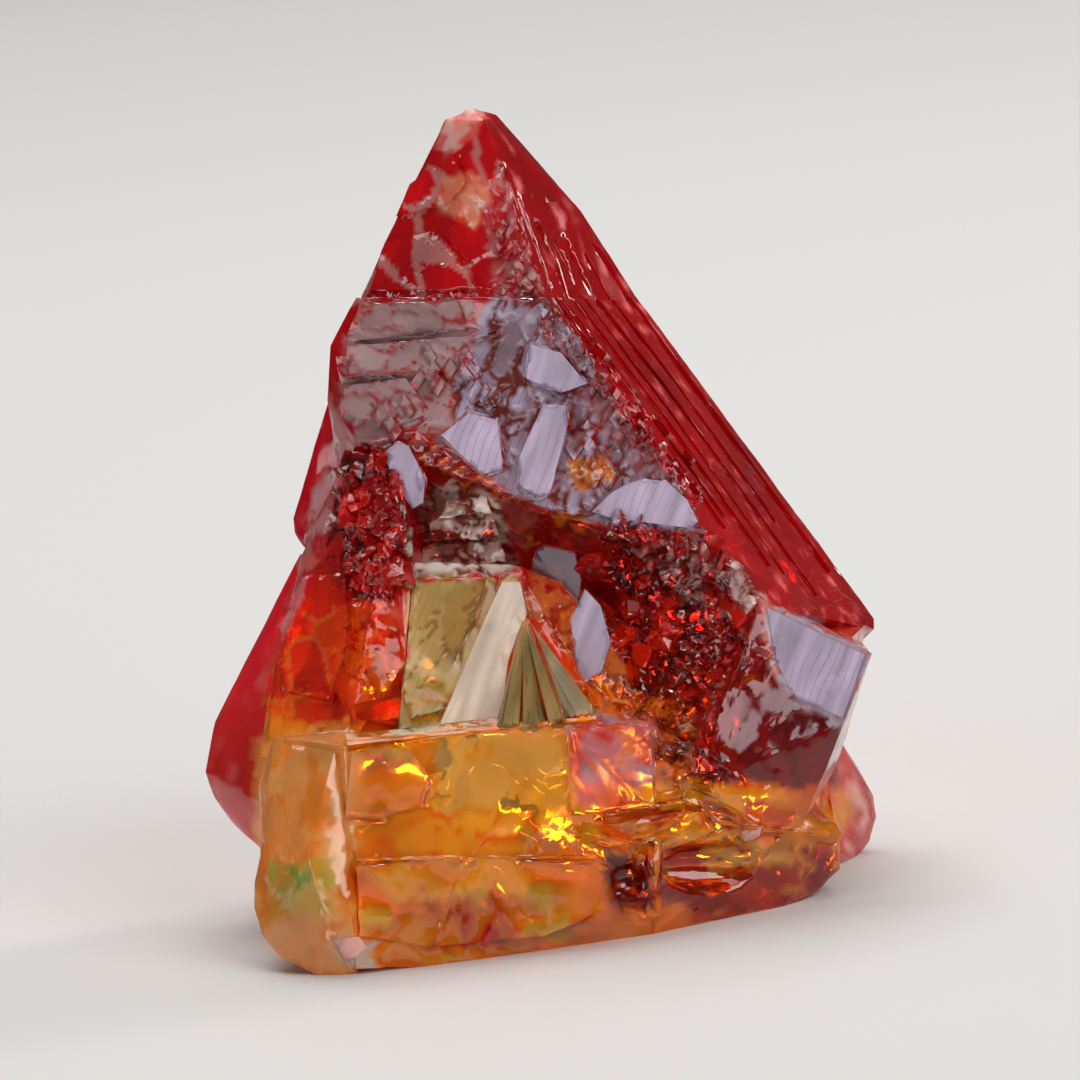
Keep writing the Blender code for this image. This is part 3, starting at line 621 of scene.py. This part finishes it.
# Colour, clearness, frost and fine lines of the plates; the lavender and silver colours are a painted
# reflection of light off cleavage planes
LOOKS = {
    LAVENDER_REFLECTION: ((0.42, 0.33, 0.48), 0.04, 0.26, 0.8), SILVER_REFLECTION: ((0.66, 0.62, 0.50), 0.25, 0.2, 0.35),
    OLIVE: ((0.40, 0.31, 0.11), 0.4, 0.24, 0.2), GREY: ((0.12, 0.08, 0.115), 0.03, 0.34, 0.2),
    PALE: ((0.80, 0.46, 0.42), 0.3, 0.45, 0.0), GOLD: ((1.0, 0.30, 0.012), 0.4, 0.06, 0.0),
}
FLANK = ((0.80, 0.001, 0.018), (0.78, 0.06, 0.09), 0.35, 0.14)
SIDE = ((0.50, 0.0004, 0.002), (0.80, 0.10, 0.11), 0.45, 0.09)
WEDGE = ((0.66, 0.010, 0.025), (0.82, 0.42, 0.38), 0.35, 0.25)


def mix(first, second, share):
    return [a + (b - a) * share for a, b in zip(first, second)]


def level_look(z):
    for (low, under), (high, over) in zip(LEVELS, LEVELS[1:]):
        if z <= high:
            return mix(under, over, max(0.0, (z - low) / (high - low)))
    return list(LEVELS[-1][1])


def patchy(base, point, first, last):
    """A side's colour with frosted paler patches stretched along the crystal's length."""
    along = point.dot(ALONG)
    spot = noise.noise((point - ALONG * along * 0.75) * 1.9)
    grain = noise.noise(point * 3.0)
    share = max(0.0, min(1.0, (spot + 0.45 * grain - first) / (last - first)))
    one, two, clear, frost = base
    return mix(one, two, share) + [clear * (1.0 - 0.6 * share), frost + 0.25 * share, 0.0]


def stone_look(point, normal):
    """Colour, clearness, frost and fine lines of plain stone at a place."""
    wobble = noise.noise(point * 0.8) * 0.7
    look = level_look(point.z + wobble) + [STONE_FROST, 0.0]
    if normal.x > 0.35 and point.z > 9.5 and point.y > -4.5:
        look = patchy(SIDE, point, 0.25, 0.75)
    if point.x < -6.2 and point.y > 0.2:
        look = mix(look, patchy(FLANK, point, 0.2, 0.6), 0.95)
    if point.x > 7.2 and point.y > 0.6 and point.z < 7.5:
        look = mix(look, patchy(WEDGE, point, 0.0, 0.4), 0.95)
    for zone, share in zones_at(point, normal):
        _, _, one, two, rare, clear, frost, lines, net = zone
        colour = one
        if net:
            size, stretch, lean, _, crack, width = net
            own, border = piece(point.x, point.z, size, stretch, lean)
            colour = crack if border < width else mix(one, two, own ** rare)
        look = mix(look, list(colour) + [clear, frost, lines], share)
    return look


def paint(mesh):
    """Writes each corner's colour, clearness, frost and fine lines, which the material reads."""
    tints = []
    finishes = []
    known = {}
    for face in mesh.polygons:
        plate_look = LOOKS.get(face.material_index)
        for number in face.vertices:
            vertex = mesh.vertices[number]
            point = vertex.co
            if plate_look:
                streak = noise.noise(Vector((point.x * 3.6 - point.z * 1.3, point.z * 0.5, 0.0)))
                look = [part * (1.0 + 0.5 * streak) for part in plate_look[0]] + list(plate_look[1:])
            else:
                if number not in known:
                    known[number] = stone_look(point, vertex.normal)
                look = known[number]
            tints.extend((look[0], look[1], look[2], 1.0))
            finishes.extend((look[3], look[4], look[5], 1.0))
    for name, values in (("tint", tints), ("finish", finishes)):
        layer = mesh.attributes.new(name, "FLOAT_COLOR", "CORNER")
        layer.data.foreach_set("color", values)


def node(tree, kind, values=None, **settings):
    made = tree.nodes.new(kind)
    for name, value in settings.items():
        setattr(made, name, value)
    for name, value in (values or {}).items():
        made.inputs[name].default_value = value
    return made


LINE_PITCH = 0.00022


def clear_material():
    """Clear sphalerite: high refraction, colour by zone, frosted breaks and fine steps."""
    made = bpy.data.materials.new("sphalerite")
    made.use_nodes = True
    tree = made.node_tree
    tree.nodes.clear()
    link = tree.links.new
    place = node(tree, "ShaderNodeTexCoord")
    tint = node(tree, "ShaderNodeAttribute", attribute_name="tint")
    finish = node(tree, "ShaderNodeAttribute", attribute_name="finish")
    parts = node(tree, "ShaderNodeSeparateColor")
    link(finish.outputs["Color"], parts.inputs["Color"])

    cloud = node(tree, "ShaderNodeTexNoise", {"Scale": 420.0, "Detail": 2.0, "Roughness": 0.6})
    link(place.outputs["Object"], cloud.inputs["Vector"])
    shade = node(tree, "ShaderNodeMapRange", {"From Min": 0.3, "From Max": 0.7, "To Min": 0.72,
                                              "To Max": 1.2})
    link(cloud.outputs["Fac"], shade.inputs["Value"])
    toned = node(tree, "ShaderNodeVectorMath", operation="SCALE")
    link(tint.outputs["Color"], toned.inputs["Vector"])
    link(shade.outputs["Result"], toned.inputs["Scale"])

    speck = node(tree, "ShaderNodeMapRange", {"From Min": 0.62, "From Max": 0.7, "To Min": 0.0,
                                              "To Max": 0.2})
    link(cloud.outputs["Fac"], speck.inputs["Value"])
    frosted = node(tree, "ShaderNodeMath", operation="ADD")
    link(parts.outputs["Green"], frosted.inputs[0])
    link(speck.outputs["Result"], frosted.inputs[1])

    across = node(tree, "ShaderNodeVectorMath", operation="DOT_PRODUCT")
    link(place.outputs["Object"], across.inputs[0])
    across.inputs[1].default_value = TURN @ Vector((0.93, 0.0, -0.36)) / LINE_PITCH
    drift = node(tree, "ShaderNodeTexNoise", {"Scale": 700.0, "Detail": 0.0})
    link(place.outputs["Object"], drift.inputs["Vector"])
    drifted = node(tree, "ShaderNodeMath", operation="MULTIPLY_ADD")
    link(drift.outputs["Fac"], drifted.inputs[0])
    drifted.inputs[1].default_value = 1.6
    link(across.outputs["Value"], drifted.inputs[2])
    saw = node(tree, "ShaderNodeMath", operation="FRACT")
    link(drifted.outputs["Value"], saw.inputs[0])
    line = node(tree, "ShaderNodeMapRange", {"From Min": 0.0, "From Max": 0.2, "To Min": 1.0,
                                             "To Max": 0.0})
    link(saw.outputs["Value"], line.inputs["Value"])
    patch = node(tree, "ShaderNodeMapRange", {"From Min": 0.45, "From Max": 0.6, "To Min": 0.0,
                                              "To Max": 0.75})
    link(cloud.outputs["Fac"], patch.inputs["Value"])
    lined = node(tree, "ShaderNodeMath", operation="MULTIPLY")
    link(line.outputs["Result"], lined.inputs[0])
    link(parts.outputs["Blue"], lined.inputs[1])
    ruled = node(tree, "ShaderNodeMath", operation="MULTIPLY")
    link(lined.outputs["Value"], ruled.inputs[0])
    link(patch.outputs["Result"], ruled.inputs[1])
    coloured = node(tree, "ShaderNodeMix", data_type="RGBA")
    link(ruled.outputs["Value"], coloured.inputs["Factor"])
    link(toned.outputs["Vector"], coloured.inputs[6])
    coloured.inputs[7].default_value = (0.10, 0.03, 0.03, 1.0)

    steps = node(tree, "ShaderNodeTexNoise", {"Scale": 300.0, "Detail": 2.0})
    link(place.outputs["Object"], steps.inputs["Vector"])
    many = node(tree, "ShaderNodeMath", operation="MULTIPLY")
    many.inputs[1].default_value = 16.0
    link(steps.outputs["Fac"], many.inputs[0])
    level = node(tree, "ShaderNodeMath", operation="FLOOR")
    link(many.outputs["Value"], level.inputs[0])
    grain = node(tree, "ShaderNodeTexNoise", {"Scale": 1500.0, "Detail": 1.0})
    link(place.outputs["Object"], grain.inputs["Vector"])
    step_bump = node(tree, "ShaderNodeBump", {"Strength": 0.3, "Distance": 0.000012})
    link(level.outputs["Value"], step_bump.inputs["Height"])
    grain_bump = node(tree, "ShaderNodeBump", {"Strength": 0.25, "Distance": 0.00003})
    link(grain.outputs["Fac"], grain_bump.inputs["Height"])
    link(step_bump.outputs["Normal"], grain_bump.inputs["Normal"])

    skin = node(tree, "ShaderNodeBsdfPrincipled", {"IOR": 1.6})
    link(coloured.outputs[2], skin.inputs["Base Color"])
    link(parts.outputs["Red"], skin.inputs["Transmission Weight"])
    link(frosted.outputs["Value"], skin.inputs["Roughness"])
    link(grain_bump.outputs["Normal"], skin.inputs["Normal"])
    inside = node(tree, "ShaderNodeVolumeAbsorption", {"Density": 300.0})
    inside.inputs["Color"].default_value = (0.98, 0.8, 0.33, 1.0)
    out = node(tree, "ShaderNodeOutputMaterial")
    link(skin.outputs["BSDF"], out.inputs["Surface"])
    link(inside.outputs["Volume"], out.inputs["Volume"])
    return made


def keep_in_box(bm):
    """The finer surface never passes the solid's own box."""
    low, high = cad_box
    for vert in bm.verts:
        for axis in range(3):
            vert.co[axis] = max(low[axis], min(high[axis], vert.co[axis]))


def build_crystal():
    home = bpy.data.collections.new("growth")
    bpy.context.scene.collection.children.link(home)
    start, shift = front_copy(frame["nodes"]["crystal"])
    body = add_mesh("crystal_surface", start, bpy.context.scene.collection)
    grow(body, home)
    bm = bmesh.new()
    bm.from_mesh(body.data)
    refine(bm)
    ripple(bm)
    bm.to_mesh(body.data)
    bm.free()
    paint(body.data)
    bm = bmesh.new()
    bm.from_mesh(body.data)
    for vert in bm.verts:
        vert.co = (TURN @ (vert.co - shift)) * MM
    keep_in_box(bm)
    bm.to_mesh(body.data)
    bm.free()
    body.data.materials.clear()
    body.data.materials.append(clear_material())
    for face in body.data.polygons:
        face.material_index = 0
        face.use_smooth = True
    body.data.set_sharp_from_angle(angle=math.radians(22.0))
    body.data.validate()
    bpy.data.collections.remove(home)
    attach(body, "root")
    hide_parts("crystal")
    return body, shift


def plain_material(name, colour, roughness):
    made = bpy.data.materials.new(name)
    made.use_nodes = True
    skin = made.node_tree.nodes["Principled BSDF"]
    skin.inputs["Base Color"].default_value = (*colour, 1.0)
    skin.inputs["Roughness"].default_value = roughness
    return made


def floor():
    """A wide pale floor: it fills the view, because the eye looks down on it."""
    bm = bmesh.new()
    bmesh.ops.create_grid(bm, x_segments=1, y_segments=1, size=3.0)
    mesh = bpy.data.meshes.new("floor")
    bm.to_mesh(mesh)
    bm.free()
    made = bpy.data.objects.new("floor", mesh)
    bpy.context.scene.collection.objects.link(made)
    mesh.materials.append(plain_material("pale_floor", (0.62, 0.615, 0.61), 0.8))


def softbox(name, spot, aim, size, power, colour, spread=180.0):
    """A soft light that looks at a place, its beam narrowed to the spread in degrees."""
    data = bpy.data.lights.new(name, "AREA")
    data.shape = "RECTANGLE"
    data.size = size[0]
    data.size_y = size[1]
    data.energy = power
    data.color = colour
    data.spread = math.radians(spread)
    made = bpy.data.objects.new(name, data)
    made.location = spot
    made.rotation_euler = (Vector(aim) - Vector(spot)).to_track_quat("-Z", "Y").to_euler()
    bpy.context.scene.collection.objects.link(made)


def lights():
    middle = (0.0, 0.0, 0.011)
    softbox("left_box", (-0.22, -0.20, 0.06), middle, (0.18, 0.07), 0.15, (1.0, 0.95, 0.99))
    softbox("top_box", (0.0, -0.12, 0.27), middle, (0.14, 0.09), 0.12, (1.0, 0.98, 0.95))
    softbox("fill", (0.16, -0.22, 0.20), middle, (0.18, 0.16), 0.48, (1.0, 0.98, 0.96))
    softbox("right_box", (0.24, 0.10, 0.13), middle, (0.05, 0.16), 0.25, (1.0, 0.97, 0.94))
    softbox("overhead", (-0.02, 0.16, 0.30), (-0.01, 0.12, 0.0), (0.3, 0.3), 1.05, (1.0, 0.99, 0.97))
    softbox("low_glow", (0.0, 0.036, 0.005), (0.0, 0.0, 0.006), (0.008, 0.006), 0.0025,
            (1.0, 0.97, 0.9), 16.0)
    world = bpy.data.worlds.new("studio")
    world.use_nodes = True
    world.node_tree.nodes["Background"].inputs["Color"].default_value = (0.85, 0.87, 0.9, 1.0)
    world.node_tree.nodes["Background"].inputs["Strength"].default_value = 0.07
    bpy.context.scene.world = world
    bpy.context.scene.view_settings.view_transform = "Standard"


def camera(shift):
    data = bpy.data.cameras.new("eye")
    data.sensor_width = SENSOR
    data.lens = SENSOR * VIEW_DISTANCE / VIEW_WIDTH
    data.clip_start = 0.01
    data.clip_end = 10.0
    made = bpy.data.objects.new("eye", data)
    spot = VIEW_MIDDLE - Vector((0, VIEW_DISTANCE, 0))
    upright = TURN @ Matrix.Rotation(math.radians(90.0), 3, "X")
    made.matrix_world = Matrix.Translation((TURN @ (spot - shift)) * MM) @ upright.to_4x4()
    bpy.context.scene.collection.objects.link(made)
    bpy.context.scene.camera = made


crystal, view_shift = build_crystal()
floor()
lights()
camera(view_shift)
print("triangles", sum(len(face.vertices) - 2 for face in crystal.data.polygons))
